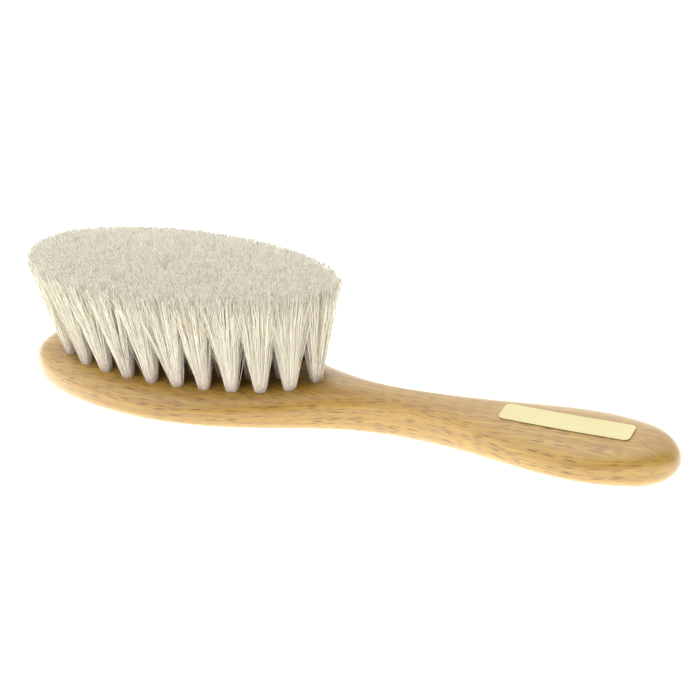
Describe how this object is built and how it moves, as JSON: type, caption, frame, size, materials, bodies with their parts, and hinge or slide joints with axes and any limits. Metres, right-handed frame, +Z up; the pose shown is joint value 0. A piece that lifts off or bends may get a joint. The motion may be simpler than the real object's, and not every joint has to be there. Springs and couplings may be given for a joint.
{
  "type": "clothes brush",
  "caption": "Soft clothes brush with an oval wooden head, a narrow waist, a club-shaped handle and trimmed pale hair tufts, lying with the hair up.",
  "frame": {"origin": "bottom centre of the bounding box: on the flat of the wooden back, half way along the brush", "axes": "+X along the brush from the head towards the end of the handle, +Y across it, +Z up out of the face that holds the hair"},
  "size_m": [0.175, 0.0404, 0.0396],
  "materials": {
    "oiled_beech": "smooth oiled beech, satin",
    "goat_hair": "soft undyed off-white goat hair, trimmed level",
    "gold_foil": "pale gold foil, smooth, blank"
  },
  "bodies": {
    "root": {"brush_stock": "oiled_beech", "tuft_outer_01": "goat_hair", "tuft_outer_02": "goat_hair", "tuft_outer_03": "goat_hair", "tuft_outer_04": "goat_hair", "tuft_outer_05": "goat_hair", "tuft_outer_06": "goat_hair", "tuft_outer_07": "goat_hair", "tuft_outer_08": "goat_hair", "tuft_outer_09": "goat_hair", "tuft_outer_10": "goat_hair", "tuft_outer_11": "goat_hair", "tuft_outer_12": "goat_hair", "tuft_outer_13": "goat_hair", "tuft_outer_14": "goat_hair", "tuft_outer_15": "goat_hair", "tuft_outer_16": "goat_hair", "tuft_outer_17": "goat_hair", "tuft_outer_18": "goat_hair", "tuft_outer_19": "goat_hair", "tuft_outer_20": "goat_hair", "tuft_outer_21": "goat_hair", "tuft_outer_22": "goat_hair", "tuft_outer_23": "goat_hair", "tuft_middle_01": "goat_hair", "tuft_middle_02": "goat_hair", "tuft_middle_03": "goat_hair", "tuft_middle_04": "goat_hair", "tuft_middle_05": "goat_hair", "tuft_middle_06": "goat_hair", "tuft_middle_07": "goat_hair", "tuft_middle_08": "goat_hair", "tuft_middle_09": "goat_hair", "tuft_middle_10": "goat_hair", "tuft_middle_11": "goat_hair", "tuft_middle_12": "goat_hair", "tuft_middle_13": "goat_hair", "tuft_middle_14": "goat_hair", "tuft_middle_15": "goat_hair", "tuft_middle_16": "goat_hair", "tuft_middle_17": "goat_hair", "tuft_centre_01": "goat_hair", "tuft_centre_02": "goat_hair", "tuft_centre_03": "goat_hair", "tuft_centre_04": "goat_hair", "tuft_centre_05": "goat_hair", "tuft_centre_06": "goat_hair", "label_plate": "gold_foil"}
  },
  "joints": []
}
